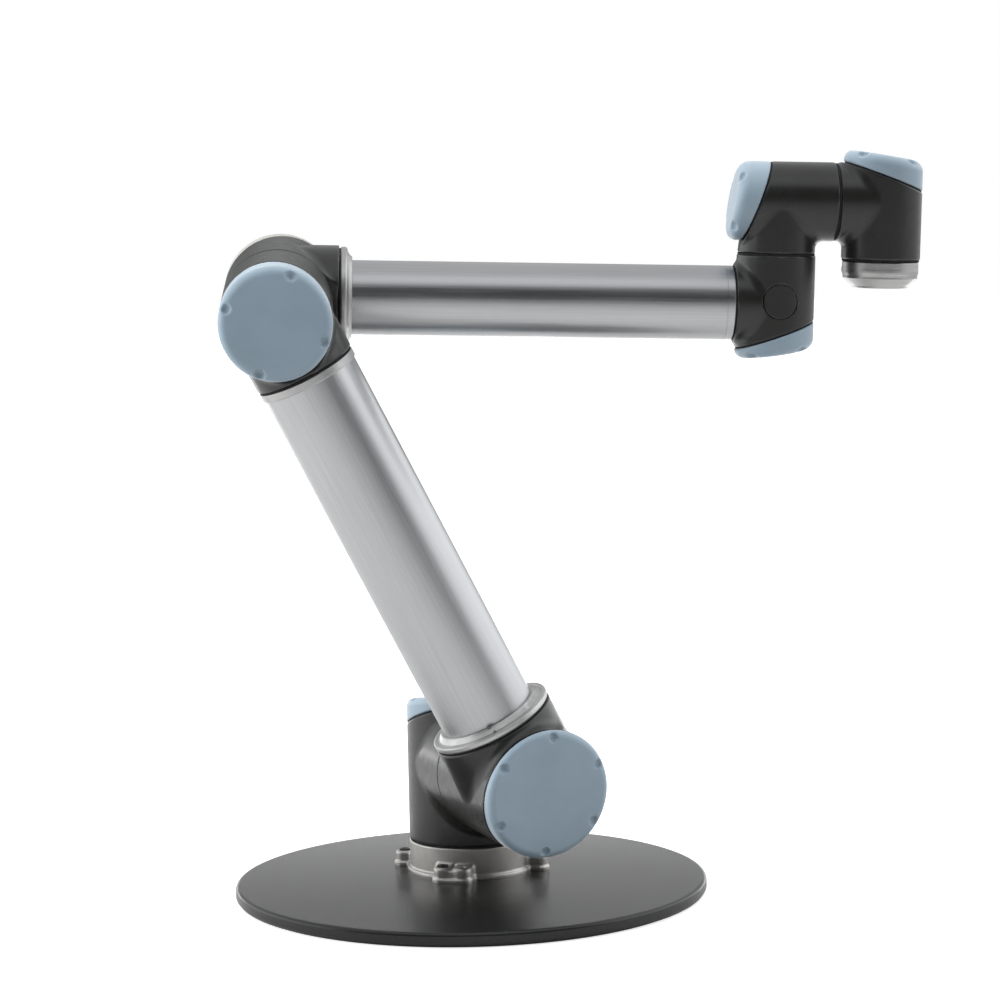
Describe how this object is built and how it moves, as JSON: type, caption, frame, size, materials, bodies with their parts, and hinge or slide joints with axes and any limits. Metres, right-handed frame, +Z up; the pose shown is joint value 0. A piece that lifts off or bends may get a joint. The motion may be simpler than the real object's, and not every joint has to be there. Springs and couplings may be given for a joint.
{
  "type": "collaborative robot arm",
  "caption": "Six-axis collaborative robot arm: hollow joint castings with wedge-shaped lids, two aluminium tubes and a tool flange, on a round weighted stand.",
  "frame": {"origin": "centre of the underside of the round stand, on the floor", "axes": "+Z up along the base joint's axis; +X the way the forearm reaches at rest; -Y towards the side where the elbow joint's lid is"},
  "size_m": [0.8234, 0.566, 0.8766],
  "materials": {
    "disc_black": "satin black powder coat on steel",
    "pad_rubber": "matt black rubber",
    "cast_silver": "die-cast, lightly shot-blasted",
    "tube_aluminium": "satin anodised, drawn along the tube",
    "machined_aluminium": "turned and clear anodised",
    "silver_lid": "satin moulded plastic",
    "joint_lid": "satin moulded plastic with soft edges",
    "fastener_steel": "zinc-plated steel",
    "seal_rubber": "black lip seal",
    "gear_steel": "ground gear steel",
    "motor_windings": "copper windings on laminated steel",
    "hub_steel": "turned steel",
    "black_plastic": "black nylon",
    "housing_grey": "dark grey semi-gloss coat on cast aluminium"
  },
  "bodies": {
    "stand": {"weighted_disc": "disc_black", "rubber_pad": "pad_rubber", "base_flange": "cast_silver", "flange_bolts": "fastener_steel", "cable_gland": "black_plastic", "base_hub": "hub_steel"},
    "turret": {"base_housing": "housing_grey", "base_lid": "joint_lid", "base_lid_screws": "fastener_steel", "base_seal": "seal_rubber", "base_gear": "gear_steel", "base_motor": "motor_windings", "shoulder_hub": "hub_steel"},
    "upper_arm": {"shoulder_housing": "housing_grey", "shoulder_lid": "joint_lid", "shoulder_lid_screws": "fastener_steel", "shoulder_seal": "seal_rubber", "shoulder_gear": "gear_steel", "shoulder_motor": "motor_windings", "lower_tube_ring": "cast_silver", "upper_tube": "tube_aluminium", "upper_tube_ring": "tube_aluminium", "elbow_housing": "housing_grey", "elbow_lid": "joint_lid", "elbow_lid_screws": "fastener_steel", "elbow_seal": "seal_rubber", "elbow_gear": "gear_steel", "elbow_motor": "motor_windings"},
    "forearm": {"elbow_hub": "hub_steel", "elbow_casting": "housing_grey", "casting_lid": "silver_lid", "casting_lid_screws": "fastener_steel", "forearm_ring": "tube_aluminium", "forearm_tube": "tube_aluminium", "wrist_1_housing": "housing_grey", "wrist_1_lid": "joint_lid", "wrist_1_lid_screws": "fastener_steel", "wrist_1_seal": "seal_rubber", "wrist_1_gear": "gear_steel", "wrist_1_motor": "motor_windings", "wrist_1_plug": "housing_grey"},
    "wrist_1_link": {"wrist_1_hub": "hub_steel", "wrist_2_housing": "housing_grey", "wrist_2_lid": "joint_lid", "wrist_2_lid_screws": "fastener_steel", "wrist_2_seal": "seal_rubber", "wrist_2_gear": "gear_steel", "wrist_2_motor": "motor_windings"},
    "wrist_2_link": {"wrist_2_hub": "hub_steel", "wrist_3_housing": "housing_grey", "wrist_3_lid": "joint_lid", "wrist_3_lid_screws": "fastener_steel", "wrist_3_seal": "seal_rubber", "wrist_3_gear": "gear_steel", "wrist_3_motor": "motor_windings"},
    "tool": {"tool_flange": "machined_aluminium", "tool_connector": "black_plastic"}
  },
  "joints": [
    {"name": "base_joint", "type": "hinge", "parent": "stand", "child": "turret", "pos_m": [0, 0.06, 0.153], "axis": [0, 0, 1], "range_deg": [-395.3, 324.7]},
    {"name": "shoulder_joint", "type": "hinge", "parent": "turret", "child": "upper_arm", "pos_m": [0.06661, -0.12007, 0.153], "axis": [0.3469, -0.9379, 0], "range_deg": [-55, 45]},
    {"name": "elbow_joint", "type": "hinge", "parent": "upper_arm", "child": "forearm", "pos_m": [-0.19966, -0.21857, 0.70305], "axis": [0.0473, -0.987, -0.1539], "range_deg": [-35, 150]},
    {"name": "wrist_1_joint", "type": "hinge", "parent": "forearm", "child": "wrist_1_link", "pos_m": [0.36734, -0.06655, 0.7015], "axis": [0.0374, -0.0322, 0.9988], "range_deg": [-120, 120]},
    {"name": "wrist_2_joint", "type": "hinge", "parent": "wrist_1_link", "child": "wrist_2_link", "pos_m": [0.37176, -0.07035, 0.81935], "axis": [0.9979, 0.0533, -0.0357], "range_deg": [-180, 540]},
    {"name": "wrist_3_joint", "type": "hinge", "parent": "wrist_2_link", "child": "tool", "pos_m": [0.49351, -0.06384, 0.815], "axis": [-0.0374, 0.0322, -0.9988], "range_deg": [-360, 360]}
  ]
}
